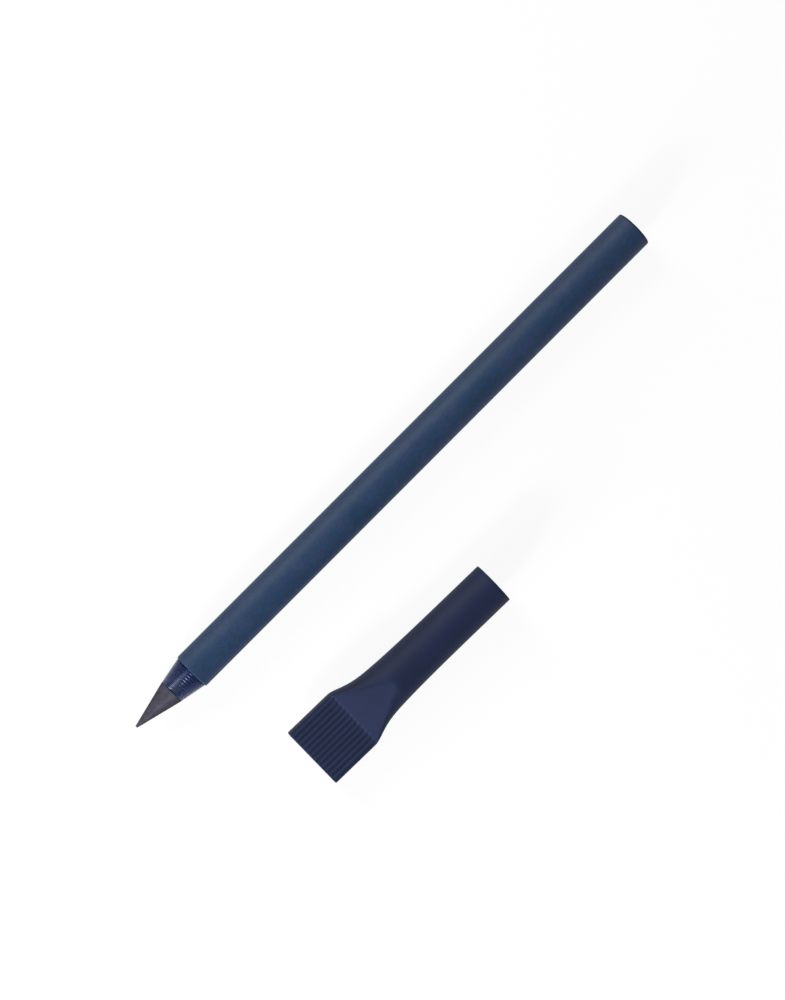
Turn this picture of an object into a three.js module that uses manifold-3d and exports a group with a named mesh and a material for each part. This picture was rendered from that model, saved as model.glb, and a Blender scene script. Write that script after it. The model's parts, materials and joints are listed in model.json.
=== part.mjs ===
// Inkless pencil: a rolled-paper barrel, a graphite-alloy tip in a translucent collar,
// and a push-on cap with a flat ribbed end, taken off and lying beside the pencil.
//
// Millimetres. +X runs from the writing tip to the rear end and +Z is up. The pencil and
// the cap lie on the plane z = 0, and the origin is under the middle of the pair.

import * as THREE from 'three';
import { mergeVertices } from 'three/addons/utils/BufferGeometryUtils.js';
import Module from 'manifold-3d';

// Barrel
const BARREL_DIAMETER = 8.0;
const BARREL_LENGTH = 123.4;
const BARREL_BORE = 5.6;
const WRAP_THICKNESS = 0.3;
const GLUE_LINE = 0.05;

// Writing tip
const TIP_LENGTH = 9.9;
const TIP_BASE_DIAMETER = 5.42;
const TIP_POINT_RADIUS = 0.3;
const SHANK_DIAMETER = 2.6;
const SHANK_LENGTH = 11.0;
const SHANK_CHAMFER = 0.3;
const SHANK_CLEARANCE = 0.05;

// Collar between the tip and the barrel
const COLLAR_LENGTH = 5.5;
const COLLAR_BASE_DIAMETER = 7.56;
const COLLAR_SPIGOT_LENGTH = 9.0;
const SPIGOT_CLEARANCE = 0.05;
const SPIGOT_CHAMFER = 0.25;

// Plug in the rear end
const PLUG_FLANGE_THICKNESS = 0.4;
const PLUG_EDGE_RADIUS = 0.32;
const PLUG_SPIGOT_LENGTH = 8.0;
const PLUG_WALL = 0.8;

// Cap, with each depth measured from its mouth along its axis
const CAP_LENGTH = 50.05;
const CAP_MOUTH_DIAMETER = 9.22;
const CAP_SWELL_START = 9.8;
const CAP_KNEE_DEPTH = 31.3;
const CAP_KNEE_DIAMETER = 10.15;
const CAP_KNEE_SLOPE = 0.087;
const CAP_FACET_START = 28.1;
const CAP_FACET_END = 38.7;
const CAP_WIDTH = 13.9;
const CAP_FULL_WIDTH_DEPTH = 39.55;
const CAP_FLAT_THICKNESS = 3.2;
const CAP_SIDE_ROUNDING = 0.35;
const CAP_END_ROUNDING = 0.25;

// How far each end of the cap's two outline curves keeps its direction, as a share of the
// curve's length
const SWELL_HOLD = 0.25;
const FLARE_KNEE_HOLD = 0.6;
const FLARE_END_HOLD = 0.3;

// Hollow of the cap, which narrows inwards and so grips the barrel
const CAP_BORE_AT_MOUTH = 8.16;
const CAP_BORE_AT_FACET = 7.84;
const CAP_HOLLOW_DEPTH = 40.2;
const CAP_HOLLOW_END_WIDTH = 6.6;
const CAP_FACET_WALL = 0.75;

// Ribs of the cap, which stand between parallel grooves on both faces of its flat end
const RIB_COUNT = 12;
const RIB_PITCH = 1.07;
const GROOVE_WIDTH = 0.62;
const GROOVE_DEPTH = 0.32;

// Place of the cap beside the pencil
const CAP_MOUTH_BEHIND_TIP = 69.93;
const CAP_MOUTH_ASIDE = 30.19;
const CAP_TURN = THREE.MathUtils.degToRad(-1.25);

// Fineness of the curved surfaces
const ROUND_SEGMENTS = 72;
const FLANK_STEPS = 24;
const OUTLINE_STEPS = 9;
const GROOVE_STEPS = 10;
const TIP_POINT_STEPS = 6;
const PLUG_EDGE_STEPS = 4;
const SAME_POINT = 1e-6;
const CUT_ALLOWANCE = 1.0;

const wasm = await Module();
wasm.setup();

// Materials, one for each stuff that the object is made of
const navyPaper = new THREE.MeshStandardMaterial({ color: 0x33435e, roughness: 0.92, metalness: 0 });
const paperBoard = new THREE.MeshStandardMaterial({ color: 0x4a4c55, roughness: 0.95, metalness: 0 });
const graphiteAlloy = new THREE.MeshStandardMaterial({ color: 0x5a5866, roughness: 0.45, metalness: 0.7 });
const navyPlastic = new THREE.MeshStandardMaterial({ color: 0x2c3350, roughness: 0.5, metalness: 0 });
const tintedPlastic = new THREE.MeshStandardMaterial({
  color: 0x3c4670,
  roughness: 0.15,
  metalness: 0,
  transparent: true,
  opacity: 0.55,
});

const point = (radius, along) => new THREE.Vector2(radius, along);

// A solid of revolution about +X. The profile runs along +X on its outer side.
function turned(profile) {
  return new THREE.LatheGeometry(profile, ROUND_SEGMENTS).rotateZ(-Math.PI / 2);
}

// A tube between two lengths along its axis, with square ends
function tube(innerRadius, outerRadius, from, to) {
  return turned([
    point(innerRadius, from),
    point(outerRadius, from),
    point(outerRadius, to),
    point(innerRadius, to),
    point(innerRadius, from),
  ]);
}

// Only the positions of a geometry, with shared corners merged
function weld(geometry) {
  const bare = geometry.clone();
  bare.deleteAttribute('normal');
  bare.deleteAttribute('uv');
  return mergeVertices(bare);
}

function toManifold(geometry) {
  const welded = weld(geometry);
  return new wasm.Manifold(new wasm.Mesh({
    numProp: 3,
    vertProperties: Float32Array.from(welded.attributes.position.array),
    triVerts: Uint32Array.from(welded.index.array),
  }));
}

function fromManifold(manifold) {
  const mesh = manifold.getMesh();
  const geometry = new THREE.BufferGeometry();
  geometry.setAttribute('position', new THREE.BufferAttribute(mesh.vertProperties, 3));
  geometry.setIndex(new THREE.BufferAttribute(mesh.triVerts, 1));
  return geometry;
}

function subMesh(name, geometry, material) {
  const mesh = new THREE.Mesh(geometry, material);
  mesh.name = name;
  return mesh;
}

// Barrel: the board tube, and the navy sheet that is glued round it
const barrelFront = TIP_LENGTH + COLLAR_LENGTH;
const barrelRear = barrelFront + BARREL_LENGTH;
const barrelRadius = BARREL_DIAMETER / 2;
const boreRadius = BARREL_BORE / 2;
const wrapInnerRadius = barrelRadius - WRAP_THICKNESS;
const coreRadius = wrapInnerRadius - GLUE_LINE;

function barrelCore() {
  return tube(boreRadius, coreRadius, barrelFront, barrelRear);
}

function barrelWrap() {
  return tube(wrapInnerRadius, barrelRadius, barrelFront, barrelRear);
}

// Writing tip: a straight cone that is tangent to its small round point, and a shank
function writingTip() {
  const baseRadius = TIP_BASE_DIAMETER / 2;
  const shankRadius = SHANK_DIAMETER / 2;
  const shankEnd = TIP_LENGTH + SHANK_LENGTH;
  const fromPointCentre = TIP_LENGTH - TIP_POINT_RADIUS;
  const reach = Math.hypot(fromPointCentre, baseRadius);
  const coneAngle = Math.atan2(baseRadius, fromPointCentre) - Math.asin(TIP_POINT_RADIUS / reach);
  const pointArc = new THREE.Path().absarc(
    0, TIP_POINT_RADIUS, TIP_POINT_RADIUS, -Math.PI / 2, -coneAngle, false,
  );
  const roundPoint = pointArc.getPoints(TIP_POINT_STEPS);
  roundPoint[0].x = 0;
  return turned([
    ...roundPoint,
    point(baseRadius, TIP_LENGTH),
    point(shankRadius, TIP_LENGTH),
    point(shankRadius, shankEnd - SHANK_CHAMFER),
    point(shankRadius - SHANK_CHAMFER, shankEnd),
    point(0, shankEnd),
  ]);
}

// Collar: a cone that carries on from the tip, with a spigot in the barrel's bore
function noseCollar() {
  const holeRadius = SHANK_DIAMETER / 2 + SHANK_CLEARANCE;
  const spigotRadius = boreRadius - SPIGOT_CLEARANCE;
  const spigotEnd = barrelFront + COLLAR_SPIGOT_LENGTH;
  return turned([
    point(holeRadius, TIP_LENGTH),
    point(TIP_BASE_DIAMETER / 2, TIP_LENGTH),
    point(COLLAR_BASE_DIAMETER / 2, barrelFront),
    point(spigotRadius, barrelFront),
    point(spigotRadius, spigotEnd - SPIGOT_CHAMFER),
    point(spigotRadius - SPIGOT_CHAMFER, spigotEnd),
    point(holeRadius, spigotEnd),
    point(holeRadius, TIP_LENGTH),
  ]);
}

// Plug: a cup that opens into the barrel, with a thin flange on the end of the tube
function rearPlug() {
  const spigotRadius = boreRadius - SPIGOT_CLEARANCE;
  const spigotStart = barrelRear - PLUG_SPIGOT_LENGTH;
  const endFace = barrelRear + PLUG_FLANGE_THICKNESS;
  const edgeArc = new THREE.Path().absarc(
    barrelRadius - PLUG_EDGE_RADIUS, endFace - PLUG_EDGE_RADIUS, PLUG_EDGE_RADIUS, 0, Math.PI / 2, false,
  );
  return turned([
    point(0, barrelRear - PLUG_WALL),
    point(spigotRadius - PLUG_WALL, barrelRear - PLUG_WALL),
    point(spigotRadius - PLUG_WALL, spigotStart),
    point(spigotRadius - SPIGOT_CHAMFER, spigotStart),
    point(spigotRadius, spigotStart + SPIGOT_CHAMFER),
    point(spigotRadius, barrelRear),
    point(barrelRadius, barrelRear),
    ...edgeArc.getPoints(PLUG_EDGE_STEPS),
    point(0, endFace),
  ]);
}

// One section of the cap, square to its axis: flat above and below over the given half
// width, with a quarter ellipse from each end of the flats down to the side.
function capSection({ depth, halfWidth, halfHeight, flatHalfWidth }) {
  const flankWidth = halfWidth - flatHalfWidth;
  const flank = [];
  for (let step = 0; step <= FLANK_STEPS; step += 1) {
    const angle = Math.PI * step / FLANK_STEPS;
    const across = flatHalfWidth + flankWidth * Math.sin(angle);
    flank.push(new THREE.Vector3(-depth, across, halfHeight * Math.cos(angle)));
  }
  const otherFlank = flank.map((corner) => new THREE.Vector3(corner.x, -corner.y, -corner.z));
  return [...flank, ...otherFlank];
}

// A closed solid through sections that have equal numbers of corners. Where two corners
// of a section lie on each other, as where a flat starts at a point, the triangle between
// them has no area and is left out.
function loft(sections) {
  const positions = [];
  const addTriangle = (a, b, c) => {
    const shortestSide = Math.min(a.distanceTo(b), b.distanceTo(c), c.distanceTo(a));
    if (shortestSide > SAME_POINT) {
      positions.push(...a.toArray(), ...b.toArray(), ...c.toArray());
    }
  };
  const count = sections[0].length;
  for (let row = 0; row + 1 < sections.length; row += 1) {
    const near = sections[row];
    const far = sections[row + 1];
    for (let corner = 0; corner < count; corner += 1) {
      const next = (corner + 1) % count;
      addTriangle(near[corner], near[next], far[corner]);
      addTriangle(near[next], far[next], far[corner]);
    }
  }
  const first = sections[0];
  const last = sections[sections.length - 1];
  const firstCentre = new THREE.Vector3(first[0].x, 0, 0);
  const lastCentre = new THREE.Vector3(last[0].x, 0, 0);
  for (let corner = 0; corner < count; corner += 1) {
    const next = (corner + 1) % count;
    addTriangle(firstCentre, first[next], first[corner]);
    addTriangle(lastCentre, last[corner], last[next]);
  }
  const geometry = new THREE.BufferGeometry();
  geometry.setAttribute('position', new THREE.Float32BufferAttribute(positions, 3));
  return geometry;
}

// Outline of the cap in plan, as points of depth and half width: straight near the mouth,
// a slow swell to the knee, then the flare to the full width
function capPlanOutline() {
  const mouth = CAP_MOUTH_DIAMETER / 2;
  const knee = CAP_KNEE_DIAMETER / 2;
  const full = CAP_WIDTH / 2;
  const swellHold = SWELL_HOLD * (CAP_KNEE_DEPTH - CAP_SWELL_START);
  const flareLength = CAP_FULL_WIDTH_DEPTH - CAP_KNEE_DEPTH;
  const kneeHold = FLARE_KNEE_HOLD * flareLength;
  const endHold = FLARE_END_HOLD * flareLength;
  const swell = new THREE.CubicBezierCurve(
    new THREE.Vector2(CAP_SWELL_START, mouth),
    new THREE.Vector2(CAP_SWELL_START + swellHold, mouth),
    new THREE.Vector2(CAP_KNEE_DEPTH - swellHold, knee - CAP_KNEE_SLOPE * swellHold),
    new THREE.Vector2(CAP_KNEE_DEPTH, knee),
  );
  const flare = new THREE.CubicBezierCurve(
    new THREE.Vector2(CAP_KNEE_DEPTH, knee),
    new THREE.Vector2(CAP_KNEE_DEPTH + kneeHold, knee + CAP_KNEE_SLOPE * kneeHold),
    new THREE.Vector2(CAP_FULL_WIDTH_DEPTH - endHold, full),
    new THREE.Vector2(CAP_FULL_WIDTH_DEPTH, full),
  );
  return [
    new THREE.Vector2(0, mouth),
    ...swell.getPoints(OUTLINE_STEPS),
    ...flare.getPoints(OUTLINE_STEPS).slice(1),
    new THREE.Vector2(CAP_LENGTH - CAP_END_ROUNDING, full),
  ];
}

// Half width of an outline at one depth, read between its points
function outlineAt(outline, depth) {
  const index = Math.max(1, outline.findIndex((entry) => entry.x >= depth));
  const before = outline[index - 1];
  const after = outline[index];
  return THREE.MathUtils.mapLinear(depth, before.x, after.x, before.y, after.y);
}

// Outside of the cap. Each face falls in a flat triangle from a point on the round body
// to the full width of the flat end.
function capOutside() {
  const outline = capPlanOutline();
  const flatHalfHeight = CAP_FLAT_THICKNESS / 2;
  const flatHalfWidth = CAP_WIDTH / 2 - CAP_SIDE_ROUNDING;
  const facetStartRadius = outlineAt(outline, CAP_FACET_START);
  const depths = outline.map((entry) => entry.x);
  depths.push(CAP_FACET_START, CAP_FACET_END);
  depths.sort((a, b) => a - b);
  const sections = depths.map((depth) => {
    const halfWidth = outlineAt(outline, depth);
    const fall = THREE.MathUtils.clamp((depth - CAP_FACET_START) / (CAP_FACET_END - CAP_FACET_START), 0, 1);
    const halfHeight = fall > 0
      ? THREE.MathUtils.lerp(facetStartRadius, flatHalfHeight, fall)
      : halfWidth;
    return capSection({ depth, halfWidth, halfHeight, flatHalfWidth: flatHalfWidth * fall });
  });
  sections.push(capSection({
    depth: CAP_LENGTH,
    halfWidth: CAP_WIDTH / 2 - CAP_END_ROUNDING,
    halfHeight: flatHalfHeight - CAP_END_ROUNDING,
    flatHalfWidth,
  }));
  return loft(sections);
}

// Hollow of the cap: a slightly tapered bore that flattens to a chisel end. It gets no
// wider inwards, so that the mould's core can be drawn out through the mouth.
function capHollow() {
  const mouthRadius = CAP_BORE_AT_MOUTH / 2;
  const facetRadius = CAP_BORE_AT_FACET / 2;
  const endHalfWidth = CAP_HOLLOW_END_WIDTH / 2;
  const endHalfHeight = CAP_FLAT_THICKNESS / 2 - CAP_FACET_WALL;
  const round = (depth, radius) => capSection({
    depth, halfWidth: radius, halfHeight: radius, flatHalfWidth: 0,
  });
  const chisel = (depth, halfWidth) => capSection({
    depth, halfWidth, halfHeight: endHalfHeight, flatHalfWidth: halfWidth - endHalfHeight,
  });
  return loft([
    round(-CUT_ALLOWANCE, mouthRadius),
    round(0, mouthRadius),
    round(CAP_FACET_START, facetRadius),
    chisel(CAP_FACET_END, endHalfWidth),
    chisel(CAP_HOLLOW_DEPTH, endHalfWidth),
  ]);
}

// One round-bottomed groove, as long as the flat end of the cap and open at that end
function ribGroove() {
  const halfWidth = GROOVE_WIDTH / 2;
  const section = new THREE.Shape();
  section.moveTo(halfWidth, CUT_ALLOWANCE);
  section.lineTo(-halfWidth, CUT_ALLOWANCE);
  section.lineTo(-halfWidth, 0);
  section.absellipse(0, 0, halfWidth, GROOVE_DEPTH, Math.PI, 2 * Math.PI, false, 0);
  section.closePath();
  const length = CAP_LENGTH - CAP_FACET_END + CUT_ALLOWANCE;
  const groove = new THREE.ExtrudeGeometry(section, {
    depth: length,
    bevelEnabled: false,
    curveSegments: GROOVE_STEPS,
  });
  // The section's own axes turn to lie across the cap and upwards
  return groove
    .applyMatrix4(new THREE.Matrix4().makeBasis(
      new THREE.Vector3(0, 1, 0), new THREE.Vector3(0, 0, 1), new THREE.Vector3(1, 0, 0),
    ))
    .translate(-CAP_FACET_END - length, 0, CAP_FLAT_THICKNESS / 2);
}

function capShell() {
  let shell = toManifold(capOutside()).subtract(toManifold(capHollow()));
  const topGroove = toManifold(ribGroove());
  const bottomGroove = toManifold(ribGroove().rotateX(Math.PI));
  for (let groove = 0; groove <= RIB_COUNT; groove += 1) {
    const across = (groove - RIB_COUNT / 2) * RIB_PITCH;
    shell = shell.subtract(topGroove.translate([0, across, 0]));
    shell = shell.subtract(bottomGroove.translate([0, across, 0]));
  }
  return fromManifold(shell);
}

// The pencil lies on its barrel, and the cap on its round body
const pencil = new THREE.Group();
pencil.add(
  subMesh('barrel_core', barrelCore(), paperBoard),
  subMesh('barrel_wrap', barrelWrap(), navyPaper),
  subMesh('nose_collar', noseCollar(), tintedPlastic),
  subMesh('writing_tip', writingTip(), graphiteAlloy),
  subMesh('rear_plug', rearPlug(), navyPlastic),
);

const cap = new THREE.Group();
cap.add(subMesh('cap_shell', capShell(), navyPlastic));
cap.position.set(CAP_MOUTH_BEHIND_TIP, -CAP_MOUTH_ASIDE, 0);
cap.rotation.z = CAP_TURN;

const inklessPencil = new THREE.Group();
inklessPencil.add(pencil, cap);

// Each lies on z = 0, and the pair is centred on the origin
for (const item of [pencil, cap]) {
  const extent = new THREE.Box3().setFromObject(item, true);
  item.position.z -= extent.min.z;
}
const pairExtent = new THREE.Box3().setFromObject(inklessPencil, true);
const pairCentre = pairExtent.getCenter(new THREE.Vector3());
inklessPencil.position.set(-pairCentre.x, -pairCentre.y, 0);

export default inklessPencil;
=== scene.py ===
# %% [markdown]
# # A pencil that needs no ink, with its cap beside it
#
# The pencil is a paper tube with a graphite-alloy point screwed into a translucent plastic collar.
# Its cap, round at the mouth and flat and ribbed at the end, has been pulled off and lies next to
# it.
#
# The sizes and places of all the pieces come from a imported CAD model, which is loaded first and
# never changed. Each cell after that makes one piece or one finish. Everything is in metres: the
# pencil lies along X with its tip towards negative X, Z is up, and the table is at Z = 0.

# %% Load the frame
import json
import math

import bmesh
import bpy
from mathutils import Matrix, Vector


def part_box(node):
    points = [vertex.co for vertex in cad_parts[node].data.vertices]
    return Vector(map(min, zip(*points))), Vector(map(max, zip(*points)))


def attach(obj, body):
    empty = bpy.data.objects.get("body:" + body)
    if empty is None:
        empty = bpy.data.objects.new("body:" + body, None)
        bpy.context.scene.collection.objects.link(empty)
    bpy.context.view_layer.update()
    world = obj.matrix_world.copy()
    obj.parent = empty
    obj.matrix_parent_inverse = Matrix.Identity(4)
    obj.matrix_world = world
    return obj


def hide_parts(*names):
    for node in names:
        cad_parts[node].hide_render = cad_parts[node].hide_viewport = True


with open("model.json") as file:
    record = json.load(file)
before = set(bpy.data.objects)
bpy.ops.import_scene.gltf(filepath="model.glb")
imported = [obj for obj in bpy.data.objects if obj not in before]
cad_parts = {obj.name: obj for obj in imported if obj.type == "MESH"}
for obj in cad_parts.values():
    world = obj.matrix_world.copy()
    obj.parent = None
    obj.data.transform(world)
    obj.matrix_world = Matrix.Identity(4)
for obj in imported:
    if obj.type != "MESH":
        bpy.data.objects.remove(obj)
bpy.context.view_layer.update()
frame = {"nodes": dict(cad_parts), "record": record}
MM = 0.001

# %% [markdown]
# ## Places that the frame gives
#
# The pencil is round about one straight axis, so each of its pieces is described by how far along
# the axis it starts and ends, and how thick it is. The bounding boxes of the CAD nodes give both.
# The cap lies at a slight angle, and two of its flat faces are named in the record as mounts:
# their positions give the two ends of its axis.

# %% Read the places
wrap_low, wrap_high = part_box("barrel_wrap")
tip_low, tip_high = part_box("writing_tip")
collar_low, collar_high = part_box("nose_collar")
plug_low, plug_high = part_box("rear_plug")
core_low, core_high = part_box("barrel_core")

AXIS_Y = (wrap_low.y + wrap_high.y) / 2
AXIS_Z = (wrap_low.z + wrap_high.z) / 2
BARREL_RADIUS = (wrap_high.z - wrap_low.z) / 2
BARREL_FRONT = wrap_low.x
BARREL_REAR = wrap_high.x
CORE_RADIUS = (core_high.z - core_low.z) / 2
SEAT = collar_low.x
TIP_END = tip_low.x
TIP_BASE_RADIUS = (tip_high.z - tip_low.z) / 2
SHANK_END = tip_high.x
COLLAR_RADIUS = (collar_high.z - collar_low.z) / 2
COLLAR_END = collar_high.x
REAR_FACE = plug_high.x
PLUG_START = plug_low.x

mounts = {mount["name"]: mount for mount in frame["record"]["mounts"]}
cap_end = Vector(mounts["cap_end_face"]["pos_m"])
to_mouth = -Vector(mounts["cap_end_face"]["axis"])
CAP_LENGTH = (Vector(mounts["cap_mouth_rim"]["pos_m"]) - cap_end).dot(to_mouth)
print("the pencil is", round((REAR_FACE - TIP_END) / MM, 2), "mm long")
print("the cap is", round(CAP_LENGTH / MM, 2), "mm long")

# %% [markdown]
# ## Colour management and the camera
#
# The Standard view transform shows a colour as it is written. The camera looks almost straight
# down from 61 cm, a little from behind the pencil's upper side, with a long lens. Its sensor
# measures 36 mm along the long side of an upright picture. Looking nearly straight down, "up" needs
# care: the direction that is up in the picture lies in the table's plane, halfway between X and Y.

# %% Set up the camera
scene = bpy.context.scene
scene.view_settings.view_transform = "Standard"

CAMERA_PLACE = Vector((-0.02505, 0.10759, 0.6100))
LOOK_AT = Vector((-0.00236, 0.01197, 0.0040))
PICTURE_UP = math.radians(45.45)
LENS = 111.9
SENSOR_LONG_SIDE = 36.0

camera_data = bpy.data.cameras.new("camera")
camera_data.lens = LENS
camera_data.sensor_width = SENSOR_LONG_SIDE
camera_data.clip_start = 0.01
camera_data.clip_end = 10.0
camera = bpy.data.objects.new("camera", camera_data)
scene.collection.objects.link(camera)
looking = (LOOK_AT - CAMERA_PLACE).normalized()
across = looking.cross(Vector((math.cos(PICTURE_UP), math.sin(PICTURE_UP), 0))).normalized()
upwards = across.cross(looking)
turn = Matrix((across, upwards, -looking)).transposed()
camera.matrix_world = Matrix.Translation(CAMERA_PLACE) @ turn.to_4x4()
scene.camera = camera
print("camera", round((LOOK_AT - CAMERA_PLACE).length / MM), "mm from the middle of the table")

# %% [markdown]
# ## The white surroundings
#
# A small product is usually photographed in soft light, with white paper under it and all round
# it. A world as bright as that paper would wash out the pencil's colours. So this one is white
# only to rays that come from the camera, from a reflection or through clear plastic, and the light
# that it gives is faint.

# %% Make the world
WORLD_STRENGTH = 0.12


def seen_or_reflected(nodes, links):
    """1 for rays from the camera, from a reflection or through clear plastic, and 0 for others."""
    light_path = nodes.new("ShaderNodeLightPath")
    found = light_path.outputs["Is Camera Ray"]
    for kind in ("Is Glossy Ray", "Is Transmission Ray"):
        either = nodes.new("ShaderNodeMath")
        either.operation = "MAXIMUM"
        links.new(found, either.inputs[0])
        links.new(light_path.outputs[kind], either.inputs[1])
        found = either.outputs[0]
    return found


def between(nodes, links, value, low, high):
    """Turns a value that runs from 0 to 1 into one that runs from low to high."""
    limits = nodes.new("ShaderNodeMapRange")
    limits.inputs["To Min"].default_value = low
    limits.inputs["To Max"].default_value = high
    links.new(value, limits.inputs["Value"])
    return limits.outputs["Result"]


world = bpy.data.worlds.new("studio")
scene.world = world
world.use_nodes = True
nodes, links = world.node_tree.nodes, world.node_tree.links
strength = between(nodes, links, seen_or_reflected(nodes, links), WORLD_STRENGTH, 1.0)
background = nodes["Background"]
background.inputs["Color"].default_value = (1.0, 1.0, 1.0, 1.0)
links.new(strength, background.inputs["Strength"])
print("the world lights the pencil at", WORLD_STRENGTH, "and looks white")

# %% [markdown]
# ## The lamps
#
# A tall soft lamp stands beside the pencil, in the picture to the upper left. Another stands low
# beyond the pencil's tip, to the lower left, and lifts the sloping facet of the cap above the rest
# of it. Together they give a surface that faces up about its own colour. The low lamp is kept out
# of gloss, because from the other end of the pencil it would glance off every surface as a white
# glare. A small, weaker lamp above it gives the facet and the cone their sheen. It reaches over
# the base of the cone, into the collar, and picks out the thread. The lamps themselves aren't seen
# through clear plastic.

# %% Place the lamps
LAMP_DISTANCE = 0.8


def soft_lamp(name, azimuth, elevation, width, height, power, in_gloss=True):
    """An area lamp that faces the middle of the table, from a direction given in degrees."""
    around, above = math.radians(azimuth), math.radians(elevation)
    level = math.cos(above)
    towards = Vector((level * math.cos(around), level * math.sin(around), math.sin(above)))
    data = bpy.data.lights.new(name, "AREA")
    data.shape = "RECTANGLE"
    data.size = width
    data.size_y = height
    data.energy = power
    lamp = bpy.data.objects.new(name, data)
    lamp.location = LAMP_DISTANCE * towards
    lamp.rotation_euler = (-towards).to_track_quat("-Z", "Y").to_euler()
    lamp.visible_transmission = False
    lamp.visible_glossy = in_gloss
    scene.collection.objects.link(lamp)
    print(name, "stands at", [round(v, 2) for v in lamp.location], "m")


soft_lamp("side_lamp", azimuth=90, elevation=29.8, width=0.24, height=0.50, power=5.7)
soft_lamp(
    "end_lamp", azimuth=183, elevation=10, width=0.30, height=0.30, power=12.6, in_gloss=False
)
soft_lamp("sheen_lamp", azimuth=195, elevation=24, width=0.12, height=0.12, power=5.2)

# %% [markdown]
# ## The table
#
# The tabletop is a plain pale floor. To the camera, in reflections and through clear plastic it
# also glows, which keeps it white with no more light on the pencil, and it still shows a faint
# shadow.

# %% Make the floor
def new_material(name):
    """A material with an empty node tree, and its nodes and links."""
    material = bpy.data.materials.new(name)
    material.use_nodes = True
    nodes = material.node_tree.nodes
    nodes.clear()
    return material, nodes, material.node_tree.links


FLOOR_SIZE = 6.0
FLOOR_GLOW = 0.90
FLOOR_GREY = 0.86
bpy.ops.object.select_all(action="DESELECT")
bpy.ops.mesh.primitive_plane_add(size=FLOOR_SIZE, location=(0, 0, 0))
floor = bpy.context.object
floor.name = "floor"
floor_paper, nodes, links = new_material("floor_paper")
paper = nodes.new("ShaderNodeBsdfDiffuse")
paper.inputs["Color"].default_value = (FLOOR_GREY, FLOOR_GREY, FLOOR_GREY, 1.0)
glow = nodes.new("ShaderNodeEmission")
glow_share = nodes.new("ShaderNodeMath")
glow_share.operation = "MULTIPLY"
glow_share.inputs[1].default_value = FLOOR_GLOW
links.new(seen_or_reflected(nodes, links), glow_share.inputs[0])
floor_mix = nodes.new("ShaderNodeMixShader")
links.new(glow_share.outputs[0], floor_mix.inputs[0])
links.new(paper.outputs[0], floor_mix.inputs[1])
links.new(glow.outputs[0], floor_mix.inputs[2])
floor_output = nodes.new("ShaderNodeOutputMaterial")
links.new(floor_mix.outputs[0], floor_output.inputs["Surface"])
floor.data.materials.append(floor_paper)
print("floor", FLOOR_SIZE, "m wide, glowing", FLOOR_GLOW, "to the camera")

# %% [markdown]
# ## Turned pieces
#
# The barrel, the collar, the tip and the plug are all round about the same axis, as if turned on a
# lathe. Such a shape is drawn as half of its outline, a chain of corners, and spun round the axis.
# The outline is drawn as by hand: a plane is merged to a single vertex, and that vertex is
# extruded from corner to corner. After the spin, the first and last copy of the outline lie on
# each other, so doubles are merged, and then the normals are made to point outwards.

# %% A helper that spins an outline
MERGE_DISTANCE = 0.001 * MM
ROUND_STEPS = 144
FINE_ROUND_STEPS = 192


def start_outline(name, corner):
    """A new object in edit mode, with a single selected vertex at the corner (along, radius)."""
    bpy.ops.object.select_all(action="DESELECT")
    along, radius = corner
    bpy.ops.mesh.primitive_plane_add(size=MM, location=(along, AXIS_Y, AXIS_Z + radius))
    piece = bpy.context.object
    piece.name = name
    bpy.ops.object.transform_apply(location=True, rotation=True, scale=True)
    bpy.ops.object.mode_set(mode="EDIT")
    bpy.ops.mesh.select_mode(type="VERT")
    bpy.ops.mesh.select_all(action="SELECT")
    bpy.ops.mesh.merge(type="CENTER")
    return piece


def draw_outline(corners):
    """Extrudes the selected vertex through the corners, each given as (along, radius)."""
    for before, after in zip(corners, corners[1:]):
        step = (after[0] - before[0], 0, after[1] - before[1])
        bpy.ops.mesh.extrude_vertices_move(TRANSFORM_OT_translate={"value": step})


def turned(name, corners, steps=ROUND_STEPS):
    """A closed round piece from an outline that ends on the axis, or closes on itself."""
    piece = start_outline(name, corners[0])
    draw_outline(corners)
    bpy.ops.mesh.select_all(action="SELECT")
    bpy.ops.mesh.spin(
        steps=steps, angle=2 * math.pi, center=(0, AXIS_Y, AXIS_Z), axis=(1, 0, 0)
    )
    bpy.ops.mesh.select_all(action="SELECT")
    bpy.ops.mesh.remove_doubles(threshold=MERGE_DISTANCE)
    bpy.ops.mesh.normals_make_consistent(inside=False)
    bpy.ops.object.mode_set(mode="OBJECT")
    return piece

# %% [markdown]
# ## Rounding, shading and measuring
#
# Three more small helpers serve all the pieces. A real edge is never quite sharp, and its rounding
# catches a line of light, so `arc` gives the corners of a rounding. `smooth` hides the facets of a
# curved surface but keeps the true edges, and `report` prints what was made.

# %% Helpers for rounding, shading and measuring
def smooth(piece, sharper_than=35):
    """Smooth shading, except over edges that bend by more than this many degrees."""
    bpy.ops.object.select_all(action="DESELECT")
    piece.select_set(True)
    bpy.context.view_layer.objects.active = piece
    bpy.ops.object.shade_smooth_by_angle(angle=math.radians(sharper_than))


def arc(centre, radius, start, end, steps):
    """Corners on an arc in (along, radius), with angles in degrees from the +X direction."""
    corners = []
    for step in range(steps + 1):
        angle = math.radians(start + (end - start) * step / steps)
        along = centre[0] + radius * math.cos(angle)
        corners.append((along, centre[1] + radius * math.sin(angle)))
    return corners


def report(piece):
    """Prints a piece's size in millimetres and its number of faces."""
    size = [round(v / MM, 2) for v in piece.dimensions]
    print(piece.name, size, "mm,", len(piece.data.polygons), "faces")
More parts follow.
